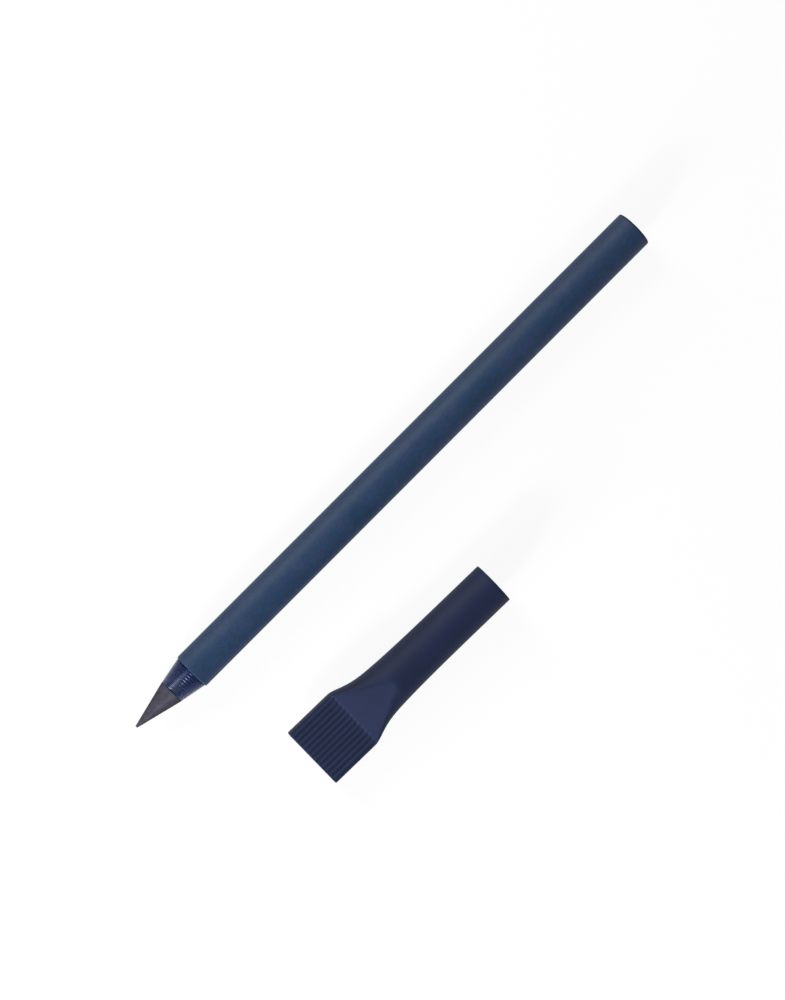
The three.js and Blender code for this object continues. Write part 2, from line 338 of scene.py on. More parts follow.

# %% [markdown]
# ## The paper barrel
#
# The visible barrel is one sheet of navy paper rolled round a board tube. Its front edge is
# slightly rounded from handling. There its cut edge is a thin pale ring: partly the paler inside of
# the paper, and partly a painted highlight of the light that the rounded edge catches. The sheet is
# spun as a thin tube, and the faces of its front end get a second material for that ring.

# %% Model the paper
GLUE_GAP = 0.05 * MM
WRAP_INNER_RADIUS = CORE_RADIUS + GLUE_GAP
EDGE_ROUNDING = 0.22 * MM
rounding_centre = (BARREL_FRONT + EDGE_ROUNDING, BARREL_RADIUS - EDGE_ROUNDING)
rounded_front = arc(rounding_centre, EDGE_ROUNDING, start=180, end=90, steps=6)
paper_outline = [
    (BARREL_FRONT, WRAP_INNER_RADIUS),
    *rounded_front,
    (BARREL_REAR, BARREL_RADIUS),
    (BARREL_REAR, WRAP_INNER_RADIUS),
    (BARREL_FRONT, WRAP_INNER_RADIUS),
]
barrel_paper = turned("barrel_paper", paper_outline, steps=FINE_ROUND_STEPS)
smooth(barrel_paper)
report(barrel_paper)

# %% [markdown]
# ## The plug in the rear end
#
# A moulded plug closes the tube. Only its thin flange shows, as a dark rounded edge and a plain
# disc with the tiny dimple that the mould's gate leaves. Its spigot is hollow towards the barrel.

# %% Model the plug
PLUG_EDGE = 0.32 * MM
PLUG_WALL = 0.8 * MM
SPIGOT_RADIUS = 2.75 * MM
DIMPLE_RADIUS = 0.6 * MM
DIMPLE_FLOOR_RADIUS = 0.6 * DIMPLE_RADIUS
DIMPLE_DEPTH = 0.12 * MM
flange_centre = (REAR_FACE - PLUG_EDGE, BARREL_RADIUS - PLUG_EDGE)
flange_edge = arc(flange_centre, PLUG_EDGE, start=0, end=90, steps=8)
plug_outline = [
    (BARREL_REAR - PLUG_WALL, 0),
    (BARREL_REAR - PLUG_WALL, SPIGOT_RADIUS - PLUG_WALL),
    (PLUG_START, SPIGOT_RADIUS - PLUG_WALL),
    (PLUG_START, SPIGOT_RADIUS),
    (BARREL_REAR, SPIGOT_RADIUS),
    (BARREL_REAR, BARREL_RADIUS),
    *reversed(flange_edge),
    (REAR_FACE, DIMPLE_RADIUS),
    (REAR_FACE - DIMPLE_DEPTH, DIMPLE_FLOOR_RADIUS),
    (REAR_FACE - DIMPLE_DEPTH, 0),
]
end_plug = turned("end_plug", plug_outline)
smooth(end_plug)
report(end_plug)

# %% [markdown]
# ## The writing tip and its thread
#
# The tip is a cone of graphite alloy in one piece with a threaded shank. The thread shows through
# the collar. Rings on a plain rod would look alike from afar, but a thread climbs by one pitch
# each turn, so it is modelled as a real helix: one pitch of its outline, wound round the axis by a
# Screw modifier.
#
# The winding starts and ends with turns to spare, and two bisecting planes cut it square and close
# its ends. Bisect also melts points that lie close to its plane. Its own limit of a tenth of a
# millimetre is coarse for a thread this small, so it is given a finer one.

# %% Wind the thread
THREAD_PITCH = 0.62 * MM
THREAD_CREST = 1.30 * MM
THREAD_ROOT = 1.12 * MM
CREST_SHARE = 0.12
ROOT_SHARE = 0.12
STEPS_PER_TURN = 48
SPARE_TURNS = 2
JOINING_DEPTH = 0.5 * MM


def wind_thread(name, start, end):
    """A closed threaded rod about the pencil's axis, from start to end."""
    first_turn = start - SPARE_TURNS * THREAD_PITCH
    flank = THREAD_PITCH * (1 - CREST_SHARE - ROOT_SHARE) / 2
    corners = [
        (first_turn, THREAD_ROOT),
        (first_turn + flank, THREAD_CREST),
        (first_turn + flank + CREST_SHARE * THREAD_PITCH, THREAD_CREST),
        (first_turn + 2 * flank + CREST_SHARE * THREAD_PITCH, THREAD_ROOT),
        (first_turn + THREAD_PITCH, THREAD_ROOT),
    ]
    rod = start_outline(name, corners[0])
    draw_outline(corners)
    bpy.ops.object.mode_set(mode="OBJECT")
    scene.cursor.location = (0, AXIS_Y, AXIS_Z)
    bpy.ops.object.origin_set(type="ORIGIN_CURSOR")
    winding = rod.modifiers.new("winding", "SCREW")
    winding.axis = "X"
    winding.screw_offset = THREAD_PITCH
    winding.iterations = math.ceil((end - first_turn) / THREAD_PITCH) + SPARE_TURNS
    winding.steps = STEPS_PER_TURN
    winding.render_steps = STEPS_PER_TURN
    winding.use_merge_vertices = True
    winding.merge_threshold = MERGE_DISTANCE
    bpy.ops.object.modifier_apply(modifier="winding")
    bpy.ops.object.transform_apply(location=True, rotation=True, scale=True)
    bpy.ops.object.mode_set(mode="EDIT")
    bpy.ops.mesh.select_all(action="SELECT")
    bpy.ops.mesh.remove_doubles(threshold=MERGE_DISTANCE)
    for place, outwards in ((start, -1), (end, 1)):
        bpy.ops.mesh.select_all(action="SELECT")
        bpy.ops.mesh.bisect(
            plane_co=(place, AXIS_Y, AXIS_Z), plane_no=(outwards, 0, 0),
            use_fill=True, clear_outer=True, threshold=MERGE_DISTANCE,
        )
    bpy.ops.mesh.select_all(action="SELECT")
    bpy.ops.mesh.normals_make_consistent(inside=False)
    bpy.ops.object.mode_set(mode="OBJECT")
    return rod


threaded_rod = wind_thread("threaded_rod", SEAT - JOINING_DEPTH, SHANK_END)
report(threaded_rod)

# %% [markdown]
# ## The cone of the tip
#
# The cone is turned like the barrel. Writing has worn its point to a small ball, and the slant is
# the line that touches the ball and ends at the base. The threaded rod starts inside the cone.
# Both bodies are watertight, so the Boolean modifier's Manifold solver can join them into one, as
# the real tip is.

# %% Turn the cone and join the shank to it
POINT_RADIUS = 0.30 * MM
BASE_EDGE = 0.05 * MM


def join_solids(piece, other):
    """Adds the other closed body to the piece, and deletes the other."""
    union = piece.modifiers.new("union", "BOOLEAN")
    union.operation = "UNION"
    union.solver = "MANIFOLD"
    union.object = other
    bpy.ops.object.select_all(action="DESELECT")
    piece.select_set(True)
    bpy.context.view_layer.objects.active = piece
    bpy.ops.object.modifier_apply(modifier="union")
    bpy.data.objects.remove(other)


point_centre = TIP_END + POINT_RADIUS
from_point = SEAT - point_centre
to_base = math.atan2(TIP_BASE_RADIUS, from_point)
beside_ball = math.asin(POINT_RADIUS / math.hypot(from_point, TIP_BASE_RADIUS))
slant = math.degrees(to_base - beside_ball)
point_arc = arc((point_centre, 0), POINT_RADIUS, start=180, end=90 + slant, steps=10)
cone_outline = [
    (TIP_END, 0),
    *point_arc[1:],
    (SEAT - BASE_EDGE, TIP_BASE_RADIUS - BASE_EDGE * math.tan(math.radians(slant))),
    (SEAT, TIP_BASE_RADIUS - BASE_EDGE),
    (SEAT, 0),
]
alloy_tip = turned("alloy_tip", cone_outline)
join_solids(alloy_tip, threaded_rod)
smooth(alloy_tip, sharper_than=30)
report(alloy_tip)

# %% [markdown]
# ## The translucent collar
#
# The collar is a solid cone of tinted plastic with a threaded hole for the shank, and a spigot
# that is pressed into the barrel. Because it bends light, it needs true walls: an outer surface
# and the wall of the hole, closed into one body.
#
# The thread of the tip is screwed into the plastic with no air between them, so the wall of the
# hole lies just inside the root of the thread, and light meets metal straight out of plastic. With
# a film of air there, the sides of the hole would flash white by total reflection. The round
# plastic is a lens too: it shows the shank half as wide again as it is. At the seat a hair's
# breadth is left, so that no two faces lie in one plane.

# %% Model the collar
THREAD_HOLD = 0.02 * MM
HOLE_RADIUS = THREAD_ROOT - THREAD_HOLD
SPIGOT_CHAMFER = 0.25 * MM
SEAT_GAP = 0.02 * MM
COLLAR_ROUNDING = 0.04 * MM
collar_outline = [
    (SEAT + SEAT_GAP, HOLE_RADIUS),
    (SEAT + SEAT_GAP, TIP_BASE_RADIUS - COLLAR_ROUNDING),
    (SEAT + COLLAR_ROUNDING, TIP_BASE_RADIUS),
    (BARREL_FRONT - COLLAR_ROUNDING, COLLAR_RADIUS),
    (BARREL_FRONT, COLLAR_RADIUS - COLLAR_ROUNDING),
    (BARREL_FRONT, SPIGOT_RADIUS),
    (COLLAR_END - SPIGOT_CHAMFER, SPIGOT_RADIUS),
    (COLLAR_END, SPIGOT_RADIUS - SPIGOT_CHAMFER),
    (COLLAR_END, HOLE_RADIUS),
    (SEAT + SEAT_GAP, HOLE_RADIUS),
]
clear_collar = turned("clear_collar", collar_outline, steps=FINE_ROUND_STEPS)
smooth(clear_collar, sharper_than=20)
report(clear_collar)

# %% [markdown]
# ## The cap
#
# The cap is moulded in one piece. Its mouth is round, its body swells slowly, and then it flares
# into a wide flat end. On each face a flat triangle falls from the round body to the flat end,
# which has twelve ribs. It could be cut from a block with Booleans, but its walls flow into each
# other, so it is drawn as a chain of rings instead. First comes its outline as seen from above: a
# swell and a flare, each a Bezier curve whose holds say how far its ends run on before they bend.

# %% Describe the cap's outline in plan
SWELL_START = 9.8 * MM
KNEE_DEPTH = 31.3 * MM
KNEE_RADIUS = 5.075 * MM
KNEE_SLOPE = 0.087
FACET_START = 28.1 * MM
FACET_END = 38.7 * MM
FULL_WIDTH_DEPTH = 39.55 * MM
MOUTH_RADIUS = 4.61 * MM
CAP_HALF_WIDTH = 6.95 * MM
FLAT_HALF_HEIGHT = 1.6 * MM
SIDE_ROUNDING = 0.35 * MM
SWELL_HOLD = 0.25
FLARE_KNEE_HOLD = 0.6
FLARE_END_HOLD = 0.3


def bezier(points, share):
    """A point on a cubic curve, at a share of its run from 0 to 1."""
    a, b, c, d = (Vector(point) for point in points)
    rest = 1 - share
    return a * rest**3 + b * 3 * rest**2 * share + c * 3 * rest * share**2 + d * share**3


swell_hold = SWELL_HOLD * (KNEE_DEPTH - SWELL_START)
flare_length = FULL_WIDTH_DEPTH - KNEE_DEPTH
knee_hold = FLARE_KNEE_HOLD * flare_length
swell_curve = (
    (SWELL_START, MOUTH_RADIUS),
    (SWELL_START + swell_hold, MOUTH_RADIUS),
    (KNEE_DEPTH - swell_hold, KNEE_RADIUS - KNEE_SLOPE * swell_hold),
    (KNEE_DEPTH, KNEE_RADIUS),
)
flare_curve = (
    (KNEE_DEPTH, KNEE_RADIUS),
    (KNEE_DEPTH + knee_hold, KNEE_RADIUS + KNEE_SLOPE * knee_hold),
    (FULL_WIDTH_DEPTH - FLARE_END_HOLD * flare_length, CAP_HALF_WIDTH),
    (FULL_WIDTH_DEPTH, CAP_HALF_WIDTH),
)
CURVE_STEPS = 60
shares = [step / CURVE_STEPS for step in range(CURVE_STEPS + 1)]
plan_outline = [(0.0, MOUTH_RADIUS)]
plan_outline += [tuple(bezier(swell_curve, share)) for share in shares]
plan_outline += [tuple(bezier(flare_curve, share)) for share in shares[1:]]
plan_outline += [(CAP_LENGTH, CAP_HALF_WIDTH)]


def half_width_at(depth):
    """Half the cap's width at a depth behind its mouth."""
    for before, after in zip(plan_outline, plan_outline[1:]):
        if depth <= after[0]:
            share = (depth - before[0]) / (after[0] - before[0])
            return before[1] + share * (after[1] - before[1])
    return plan_outline[-1][1]


print("half width at the start of the facet:", round(half_width_at(FACET_START) / MM, 3), "mm")

# %% [markdown]
# ## A section through the cap
#
# A section is described by three lengths: half its width, half its height, and half the width of
# the flat on top of it. Between the end of the flat and the side it runs down a quarter of an
# ellipse. At the mouth there is no flat, and the quarter ellipses make a circle. The corners of a
# ring are spread evenly along that outline, so the faces keep about one size.

# %% Describe a section
RING_CORNERS = 400
FLANK_STEPS = 48


def quarter_turn(steps):
    """Angles from 0 to 90 degrees, in equal steps."""
    return [math.pi / 2 * step / steps for step in range(steps + 1)]


def section_outline(half_width, half_height, flat_half_width):
    """Corners from the right side up over the top to the left side, in (across, up)."""
    flank_width = half_width - flat_half_width
    right = []
    for angle in quarter_turn(FLANK_STEPS):
        across = flat_half_width + flank_width * math.cos(angle)
        right.append(Vector((across, half_height * math.sin(angle))))
    left = [Vector((-corner.x, corner.y)) for corner in reversed(right)]
    return right + left


def spread_evenly(outline, count):
    """The given number of steps along an outline, all of one length."""
    lengths = [(b - a).length for a, b in zip(outline, outline[1:])]
    total = sum(lengths)
    corners = []
    index = 0
    passed = 0.0
    for step in range(count):
        target = total * step / count
        while index < len(lengths) - 1 and passed + lengths[index] < target:
            passed += lengths[index]
            index += 1
        share = (target - passed) / lengths[index] if lengths[index] > 0 else 0.0
        corners.append(outline[index].lerp(outline[index + 1], min(max(share, 0.0), 1.0)))
    return corners


def whole_ring(half_width, half_height, flat_half_width):
    """The corners of a section all round: its upper half, and the same again turned over."""
    outline = section_outline(half_width, half_height, flat_half_width)
    upper = spread_evenly(outline, RING_CORNERS // 2)
    return upper + [-corner for corner in upper]


def fallen(depth):
    """How far the facet has fallen at a depth, from 0 where it starts to 1 where it ends."""
    return min(max((depth - FACET_START) / (FACET_END - FACET_START), 0.0), 1.0)


print("a ring has", RING_CORNERS, "corners, and the facet is", end=" ")
print(round((FACET_END - FACET_START) / MM, 1), "mm long")

# %% [markdown]
# ## The outside and its ribs
#
# The ribs of the flat end are waves across it, cut below its surface so that their crests keep its
# height. They are cut only into the two faces and not into the sides, and they run out over a
# short length in front of the end of the facet.

# %% Describe the outside
RIB_COUNT = 12
RIB_PITCH = 1.07 * MM
RIB_DEPTH = 0.20 * MM
RIB_START = FACET_END - 0.25 * MM
RIB_START_LENGTH = 0.60 * MM
RIBBED_FROM = 0.6


def rib_groove(across, depth):
    """How deep the groove between two ribs is at a place on the flat end."""
    reach = (RIB_COUNT / 2 + 0.5) * RIB_PITCH
    if abs(across) > reach or depth <= RIB_START:
        return 0.0
    begun = min((depth - RIB_START) / RIB_START_LENGTH, 1.0)
    wave = 0.5 + 0.5 * math.cos(2 * math.pi * across / RIB_PITCH)
    return RIB_DEPTH * begun * wave


def outer_ring(depth, shrink=0.0):
    """The corners of the cap's outside at a depth, all round, in (across, up)."""
    half_width = half_width_at(depth)
    fall = fallen(depth)
    round_height = half_width_at(FACET_START) if fall > 0 else half_width
    half_height = round_height + (FLAT_HALF_HEIGHT - round_height) * fall
    flat_half_width = (CAP_HALF_WIDTH - SIDE_ROUNDING) * fall
    flat = max(flat_half_width - shrink, 0.0)
    grooved = []
    for corner in whole_ring(half_width - shrink, half_height - shrink, flat):
        on_face = abs(corner.y) > RIBBED_FROM * half_height
        groove = rib_groove(corner.x, depth) if on_face else 0.0
        grooved.append(Vector((corner.x, corner.y - math.copysign(groove, corner.y))))
    return grooved


print("grooves are", round(rib_groove(0.0, CAP_LENGTH) / MM, 2), "mm deep,", end=" ")
print("and ribs repeat every", RIB_PITCH / MM, "mm")

# %% [markdown]
# ## The hollow
#
# The hollow follows the outside, so that the plastic cools evenly in the mould. It is round as far
# as the facet and narrows slightly on the way, which lets the core of the mould draw out. Past
# that it flattens, as the outside does.

# %% Describe the hollow
BORE_AT_MOUTH = 4.08 * MM
BORE_AT_FACET = 3.92 * MM
HOLLOW_DEPTH = 40.2 * MM
HOLLOW_END_HALF_WIDTH = 3.3 * MM
HOLLOW_END_HALF_HEIGHT = 0.85 * MM


def hollow_ring(depth, shrink=0.0):
    """The corners of the cap's hollow at a depth, all round, in (across, up)."""
    narrowing = min(depth / FACET_START, 1.0)
    bore = BORE_AT_MOUTH + (BORE_AT_FACET - BORE_AT_MOUTH) * narrowing
    fall = fallen(depth)
    half_width = bore + (HOLLOW_END_HALF_WIDTH - bore) * fall - shrink
    half_height = bore + (HOLLOW_END_HALF_HEIGHT - bore) * fall - shrink
    flat_half_width = (HOLLOW_END_HALF_WIDTH - HOLLOW_END_HALF_HEIGHT) * fall
    return whole_ring(half_width, half_height, flat_half_width)


print("the wall is", round((MOUTH_RADIUS - BORE_AT_MOUTH) / MM, 2), "mm thick at the mouth")

# %% [markdown]
# ## The chain of rings
#
# The rings run from the flat end along the outside to the mouth, over its rim, and back into the
# hollow. They lie close together where the shape bends, at the facet and at the roundings, and far
# apart where it is nearly straight.

# %% List the rings
def steps_between(start, end, longest):
    """Depths from start to end, the first left out, in equal steps no longer than the longest."""
    count = max(1, math.ceil((end - start) / longest))
    return [start + (end - start) * step / count for step in range(1, count + 1)]


RIM_ROUNDING = 0.12 * MM
RIM_STEPS = 3
END_ROUNDING = 0.25 * MM
END_ROUNDING_STEPS = 4
RIBBED_STEP = 1.2 * MM
FACET_STEP = 0.35 * MM
BODY_STEP = 1.0 * MM
BORE_STEP = 4.0 * MM
FLATTENING_STEP = 1.5 * MM

stations = []
for angle in quarter_turn(END_ROUNDING_STEPS):
    depth = CAP_LENGTH - END_ROUNDING + END_ROUNDING * math.cos(angle)
    stations.append((depth, outer_ring(depth, shrink=END_ROUNDING * (1 - math.sin(angle)))))
ribs_full = RIB_START + RIB_START_LENGTH
rounding_start = CAP_LENGTH - END_ROUNDING
ribbed_runs = steps_between(0, rounding_start - ribs_full, RIBBED_STEP)
facet_runs = steps_between(0, RIB_START - FACET_START, FACET_STEP)
body_runs = steps_between(0, FACET_START - RIM_ROUNDING, BODY_STEP)
outside_depths = [rounding_start - run for run in ribbed_runs]
outside_depths += [(ribs_full + FACET_END) / 2, FACET_END]
outside_depths += [(FACET_END + RIB_START) / 2, RIB_START]
outside_depths += [RIB_START - run for run in facet_runs]
outside_depths += [FACET_START - run for run in body_runs]
stations += [(depth, outer_ring(depth)) for depth in outside_depths]
for angle in quarter_turn(RIM_STEPS)[1:]:
    depth = RIM_ROUNDING * (1 - math.sin(angle))
    stations.append((depth, outer_ring(depth, shrink=RIM_ROUNDING * (1 - math.cos(angle)))))
for angle in quarter_turn(RIM_STEPS):
    depth = RIM_ROUNDING * (1 - math.cos(angle))
    stations.append((depth, hollow_ring(depth, shrink=-RIM_ROUNDING * (1 - math.sin(angle)))))
hollow_depths = steps_between(RIM_ROUNDING, FACET_START, BORE_STEP)
hollow_depths += steps_between(FACET_START, FACET_END, FLATTENING_STEP)
hollow_depths += [HOLLOW_DEPTH]
stations += [(depth, hollow_ring(depth)) for depth in hollow_depths]
print(len(stations), "rings for the cap")

# %% [markdown]
# ## Drawing the cap
#
# Drawn by hand, the cap starts as a filled circle. Its ring is pressed to the section of the flat
# end, and then its face is extruded once for each ring, and each new ring is pressed to its own
# section, as a mould would press it. The corners keep a number, so that each finds its place in
# the next ring. The face that is left in the last ring closes the bottom of the hollow. The cap is
# drawn along X from the origin, and then turned and moved to where the frame has it.

# %% Draw the cap
def press_ring(bm, order, depth, ring):
    """Moves the selected ring of vertices to a section of the cap, each corner by its number."""
    for vertex in bm.verts:
        if vertex.select:
            corner = ring[vertex[order]]
            vertex.co = Vector((CAP_LENGTH - depth, corner.x, corner.y))


bpy.ops.object.select_all(action="DESELECT")
bpy.ops.mesh.primitive_circle_add(vertices=RING_CORNERS, radius=CAP_HALF_WIDTH, fill_type="NGON")
cap_body = bpy.context.object
cap_body.name = "cap_body"
bpy.ops.object.mode_set(mode="EDIT")
bpy.ops.mesh.select_mode(type="FACE")
bpy.ops.mesh.select_all(action="SELECT")
edited = bmesh.from_edit_mesh(cap_body.data)
order = edited.verts.layers.int.new("order")
for number, vertex in enumerate(edited.verts):
    vertex[order] = number
press_ring(edited, order, *stations[0])
for depth, ring in stations[1:]:
    bmesh.update_edit_mesh(cap_body.data)
    bpy.ops.mesh.extrude_region_move(TRANSFORM_OT_translate={"value": (RIM_ROUNDING, 0, 0)})
    edited = bmesh.from_edit_mesh(cap_body.data)
    order = edited.verts.layers.int["order"]
    press_ring(edited, order, depth, ring)
edited.verts.layers.int.remove(order)
bmesh.update_edit_mesh(cap_body.data)
bpy.ops.mesh.select_all(action="SELECT")
bpy.ops.mesh.normals_make_consistent(inside=False)
bpy.ops.object.mode_set(mode="OBJECT")
cap_body.location = cap_end
cap_body.rotation_euler = (0, 0, math.atan2(to_mouth.y, to_mouth.x))
bpy.ops.object.transform_apply(location=True, rotation=True, scale=True)
smooth(cap_body, sharper_than=40)
report(cap_body)

# %% [markdown]
# ## Finishes
#
# Each finish is a node tree that reads Object coordinates. Generated coordinates would stretch a
# pattern to fit each piece, but Object coordinates are in metres, so a noise of a given size keeps
# its real scale everywhere. Colours are picked from 0 to 255, as on a screen, and changed to the
# linear values that nodes work in. The same few steps return in every finish, so they are helpers.

# %% Helpers for the node trees
def noise(nodes, links, vector, size, detail=2.0, roughness=0.5):
    """A noise whose blobs are about the given size, and its output from 0 to 1."""
    texture = nodes.new("ShaderNodeTexNoise")
    texture.inputs["Scale"].default_value = 1 / size
    texture.inputs["Detail"].default_value = detail
    texture.inputs["Roughness"].default_value = roughness
    links.new(vector, texture.inputs["Vector"])
    return texture.outputs["Fac"]


def ramp(nodes, links, factor, stops):
    """A colour ramp with stops of (place, colour), fed by the factor."""
    node = nodes.new("ShaderNodeValToRGB")
    elements = node.color_ramp.elements
    elements[0].position, elements[0].color = stops[0][0], (*stops[0][1], 1)
    elements[1].position, elements[1].color = stops[-1][0], (*stops[-1][1], 1)
    for place, colour in stops[1:-1]:
        element = elements.new(place)
        element.color = (*colour, 1)
    links.new(factor, node.inputs["Fac"])
    return node.outputs["Color"]


def linear(red, green, blue):
    """A colour picked on a screen, from 0 to 255, as the linear values that nodes use."""
    picked = (value / 255 for value in (red, green, blue))
    return tuple(v / 12.92 if v <= 0.04045 else ((v + 0.055) / 1.055) ** 2.4 for v in picked)


def places(nodes, links, stretch=(1, 1, 1)):
    """Object coordinates, which may be scaled by a different amount along each axis."""
    coordinates = nodes.new("ShaderNodeTexCoord")
    mapping = nodes.new("ShaderNodeMapping")
    mapping.inputs["Scale"].default_value = stretch
    links.new(coordinates.outputs["Object"], mapping.inputs["Vector"])
    return mapping.outputs["Vector"]


def finish_with(nodes, links, shader, height=None, distance=0.0):
    """Joins the shader to the output, with a bump from the height where one is given."""
    if height is not None:
        bump = nodes.new("ShaderNodeBump")
        bump.inputs["Distance"].default_value = distance
        links.new(height, bump.inputs["Height"])
        links.new(bump.outputs["Normal"], shader.inputs["Normal"])
    output = nodes.new("ShaderNodeOutputMaterial")
    links.new(shader.outputs[0], output.inputs["Surface"])


def dress(piece, *materials):
    """Puts the materials in the piece's slots, in place of what is there."""
    piece.data.materials.clear()
    for material in materials:
        piece.data.materials.append(material)


def second_finish(piece, start, end):
    """Gives the second material to the faces with their middle between two places along X."""
    chosen = [face for face in piece.data.polygons if start < face.center.x < end]
    for face in chosen:
        face.material_index = 1
    print(len(chosen), "faces of", piece.name, "get", piece.data.materials[1].name)


def describe(material):
    """Prints how many nodes a finish took."""
    print(material.name, "is made of", len(material.node_tree.nodes), "nodes")

# %% [markdown]
# ## The finish of the paper
#
# The barrel's paper is dyed in the pulp and not coated. Up close it is never one blue: it drifts
# between a greener and a more violet navy over a few millimetres, and paler fibres lie along the
# barrel. A wide noise picks the navy from a colour ramp, and a fine one, stretched along X,
# lightens and darkens it by Overlay and raises the fibres a little as a bump. The gloss is weak
# and very rough, as on dry paper.

# %% The navy paper
navy_paper, nodes, links = new_material("navy_paper_fibres")
paper = nodes.new("ShaderNodeBsdfPrincipled")
paper.inputs["Roughness"].default_value = 0.58
paper.inputs["Specular IOR Level"].default_value = 0.24
mottle = noise(nodes, links, places(nodes, links), 4.5 * MM, detail=4.0, roughness=0.7)
mottled = ramp(nodes, links, mottle, [
    (0.32, linear(11, 38, 62)),
    (0.46, linear(21, 41, 69)),
    (0.56, linear(20, 43, 68)),
    (0.70, linear(33, 45, 76)),
])
along_barrel = places(nodes, links, stretch=(0.35, 1, 1))
fibre = noise(nodes, links, along_barrel, 0.34 * MM, detail=4.0, roughness=0.75)
light_fibre = nodes.new("ShaderNodeMixRGB")
light_fibre.blend_type = "OVERLAY"
light_fibre.inputs["Fac"].default_value = 0.70
links.new(mottled, light_fibre.inputs["Color1"])
links.new(fibre, light_fibre.inputs["Color2"])
links.new(light_fibre.outputs["Color"], paper.inputs["Base Color"])
finish_with(nodes, links, paper, fibre, 0.03 * MM)
describe(navy_paper)

# %% [markdown]
# ## The cut edge of the paper, with a painted highlight
#
# Where the sheet is cut at the front of the barrel, the inside of the paper shows as a thin paler
# ring. The same paper with a paler and rougher ramp is enough for it, and its paleness is also a
# painted highlight of the light that the rounded edge catches. It is the second material of the
# piece, and only the faces of the rounded edge get it.

# %% The cut edge of the paper, with its painted highlight
cut_edge_and_painted_highlight, nodes, links = new_material("cut_edge_with_painted_highlight")
edge = nodes.new("ShaderNodeBsdfPrincipled")
edge.inputs["Roughness"].default_value = 0.8
edge.inputs["Specular IOR Level"].default_value = 0.2
frayed = noise(nodes, links, places(nodes, links), 0.25 * MM, detail=3.0, roughness=0.7)
# Paler colours: the paler inside of the cut paper, and a painted highlight of the light on the
# rounded edge.
painted_pale_ring = ramp(nodes, links, frayed, [(0.3, linear(18, 42, 70)), (0.7, linear(36, 60, 88))])
links.new(painted_pale_ring, edge.inputs["Base Color"])
finish_with(nodes, links, edge, frayed, 0.02 * MM)
describe(cut_edge_and_painted_highlight)
dress(barrel_paper, navy_paper, cut_edge_and_painted_highlight)
# Only the rounded front edge gets the pale ring with its painted highlight.
CUT_EDGE_REACH = 0.7 * EDGE_ROUNDING
second_finish(barrel_paper, BARREL_FRONT - EDGE_ROUNDING, BARREL_FRONT + CUT_EDGE_REACH)

# %% [markdown]
# ## The finish of the board
#
# The inner tube is raw grey board, made of recycled pulp. The wrap hides it, and the clear collar
# and the plug cover its ends, so its CAD node is kept and just gets a rough, speckled material in
# its slot.

# %% The board core
board, nodes, links = new_material("paper_board_plies")
plies = nodes.new("ShaderNodeBsdfPrincipled")
plies.inputs["Roughness"].default_value = 0.95
grain = noise(nodes, links, places(nodes, links), 0.4 * MM, detail=4.0, roughness=0.6)
grey = ramp(nodes, links, grain, [(0.3, linear(66, 68, 76)), (0.7, linear(84, 86, 96))])
links.new(grey, plies.inputs["Base Color"])
finish_with(nodes, links, plies, grain, 0.03 * MM)
dress(frame["nodes"]["barrel_core"], board)
describe(board)

# %% [markdown]
# ## The satin plastic
#
# The cap and the plug are moulded in the same dark plastic. The mould was left finely grained, so
# the surface scatters its gloss and the ribs don't glitter. One noise finer than a fifth of a
# millimetre gives that grain as a bump, and a wide one lets the colour drift slightly, as the flow
# of the melt does.

# %% The satin plastic of the cap and the plug
satin_plastic, nodes, links = new_material("navy_satin_plastic")
plastic = nodes.new("ShaderNodeBsdfPrincipled")
plastic.inputs["Roughness"].default_value = 0.66
plastic.inputs["Specular IOR Level"].default_value = 0.24
grain_places = places(nodes, links)
mould_grain = noise(nodes, links, grain_places, 0.18 * MM, detail=2.0)
cloud = noise(nodes, links, grain_places, 6.0 * MM, detail=3.0)
tint = ramp(nodes, links, cloud, [(0.3, linear(3, 16, 43)), (0.7, linear(9, 21, 50))])
links.new(tint, plastic.inputs["Base Color"])
finish_with(nodes, links, plastic, mould_grain, 0.01 * MM)
dress(cap_body, satin_plastic)
dress(end_plug, satin_plastic)
describe(satin_plastic)

# %% [markdown]
# ## The graphite alloy
#
# The tip writes by leaving a little of itself on the paper, and graphite makes the metal dark,
# greasy and dull. It is mostly metallic, with a low Specular Tint, which keeps its edges from
# turning white as those of polished metal do. Fine marks from turning run round it: their noise is
# squeezed along the axis and drawn out across it, and drives both the roughness and the bump. A
# second noise is the rubbing of use.

# %% The graphite alloy
alloy, nodes, links = new_material("dull_graphite_alloy")
metal = nodes.new("ShaderNodeBsdfPrincipled")
metal.inputs["Metallic"].default_value = 0.75
metal.inputs["Specular Tint"].default_value = (0.10, 0.10, 0.10, 1)
round_the_axis = places(nodes, links, stretch=(1, 0.05, 0.05))
turning = noise(nodes, links, round_the_axis, 0.12 * MM, detail=3.0)
rubbed = noise(nodes, links, places(nodes, links), 1.2 * MM, detail=3.0)
alloy_colour = ramp(nodes, links, rubbed, [(0.3, linear(57, 55, 66)), (0.7, linear(69, 67, 78))])
links.new(alloy_colour, metal.inputs["Base Color"])
links.new(between(nodes, links, turning, 0.40, 0.50), metal.inputs["Roughness"])
finish_with(nodes, links, metal, turning, 0.012 * MM)
describe(alloy)

# %% [markdown]
# ## The metal of the thread
#
# The shank is never rubbed on paper, so its thread keeps the bright surface that rolling gave it.
# Through dark plastic only its brightest glints arrive, so it is a clean metal, smoother than the
# cone, with shallow scuffs along it.

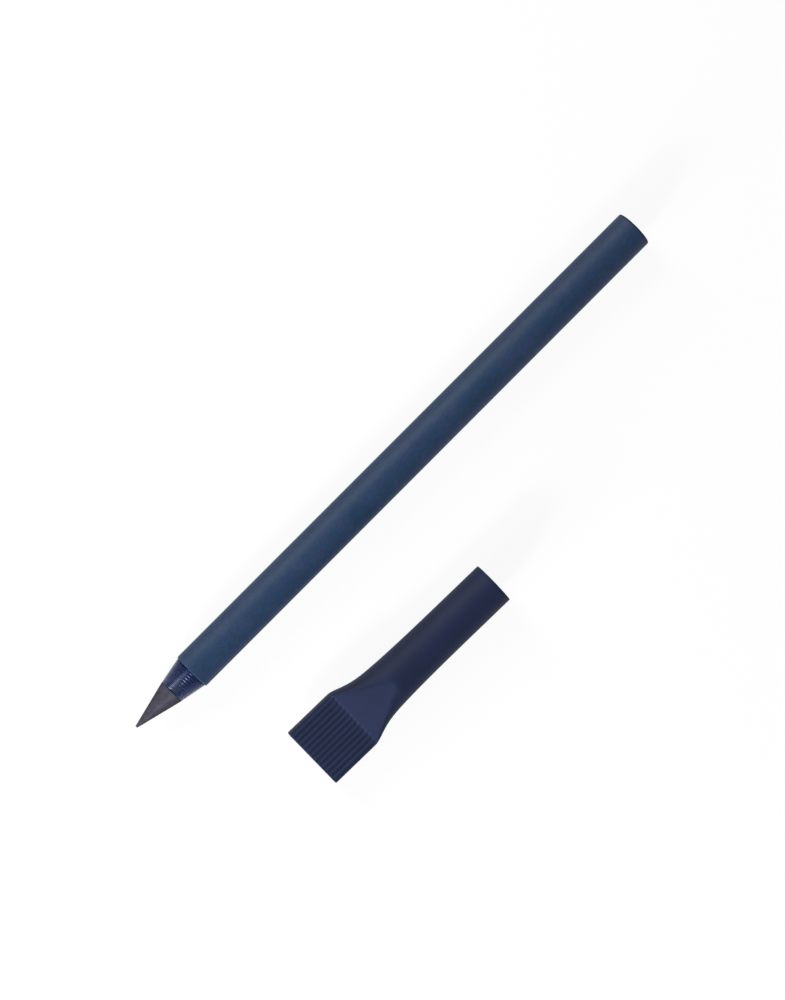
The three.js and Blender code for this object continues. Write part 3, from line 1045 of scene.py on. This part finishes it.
# %% The brighter metal of the thread
thread_metal, nodes, links = new_material("bright_thread_metal")
rolled = nodes.new("ShaderNodeBsdfPrincipled")
rolled.inputs["Metallic"].default_value = 1.0
along_shank = places(nodes, links, stretch=(0.3, 1, 1))
scuffs = noise(nodes, links, along_shank, 0.5 * MM, detail=3.0)
thread_colour = ramp(nodes, links, scuffs, [
    (0.3, linear(226, 226, 223)), (0.7, linear(238, 238, 235)),
])
links.new(thread_colour, rolled.inputs["Base Color"])
links.new(between(nodes, links, scuffs, 0.285, 0.315), rolled.inputs["Roughness"])
finish_with(nodes, links, rolled, scuffs, 0.004 * MM)
describe(thread_metal)
dress(alloy_tip, alloy, thread_metal)
PAST_SEAT = 0.01 * MM
second_finish(alloy_tip, SEAT + PAST_SEAT, SHANK_END + MM)

# %% [markdown]
# ## The translucent plastic
#
# The collar is tinted clear plastic, dark where it is thick and lighter where it is thin. A
# coloured surface can't do that, so the surface stays almost colourless and the dye is in a Volume
# Absorption: the further light travels inside, the bluer and darker it becomes.
#
# Cycles treats a refracting body as a wall to its lamps, which would leave the thread in the dark.
# For shadow rays alone the surface is therefore Transparent, so that lamps reach what is inside.
# The Specular Tint is blue, because the white table would otherwise show as a grey veil on the
# dark plastic.

# %% The translucent plastic of the collar
tinted_plastic, nodes, links = new_material("tinted_clear_plastic")
clear = nodes.new("ShaderNodeBsdfPrincipled")
clear.inputs["Transmission Weight"].default_value = 1.0
clear.inputs["IOR"].default_value = 1.5
clear.inputs["Specular IOR Level"].default_value = 0.25
clear.inputs["Specular Tint"].default_value = (0.08, 0.16, 0.80, 1)
flow = noise(nodes, links, places(nodes, links), 2.5 * MM, detail=2.0)
tint = ramp(nodes, links, flow, [(0.3, linear(228, 230, 236)), (0.7, linear(240, 241, 245))])
links.new(tint, clear.inputs["Base Color"])
links.new(between(nodes, links, flow, 0.02, 0.06), clear.inputs["Roughness"])
see_through = nodes.new("ShaderNodeBsdfTransparent")
see_through.inputs["Color"].default_value = (1, 1, 1, 1)
ray = nodes.new("ShaderNodeLightPath")
surface = nodes.new("ShaderNodeMixShader")
links.new(ray.outputs["Is Shadow Ray"], surface.inputs[0])
links.new(clear.outputs[0], surface.inputs[1])
links.new(see_through.outputs[0], surface.inputs[2])
finish_with(nodes, links, surface)
DYE_DENSITY = 1480.0
dye = nodes.new("ShaderNodeVolumeAbsorption")
dye.inputs["Color"].default_value = (0.60, 0.63, 0.72, 1)
dye.inputs["Density"].default_value = DYE_DENSITY
links.new(dye.outputs[0], nodes["Material Output"].inputs["Volume"])
describe(tinted_plastic)
dress(clear_collar, tinted_plastic)

# %% [markdown]
# ## Joining the pieces to the frame
#
# Each piece rides on the CAD body that carries it, so that it moves when the cap or the tip moves,
# and stands for the CAD node that it was modelled after. The list also gives each piece a slot
# name of the record, which the loop doesn't use.

# %% Join them
placed = (
    (barrel_paper, "pencil", "barrel_wrap", "navy_paper"),
    (clear_collar, "pencil", "nose_collar", "tinted_plastic"),
    (end_plug, "pencil", "rear_plug", "navy_plastic"),
    (alloy_tip, "tip", "writing_tip", "graphite_alloy"),
    (cap_body, "cap", "cap_shell", "navy_plastic"),
)
for piece, body, node, slot in placed:
    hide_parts(node)
    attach(piece, body)
    print(piece.name, "rides on", body, "and stands for", node)
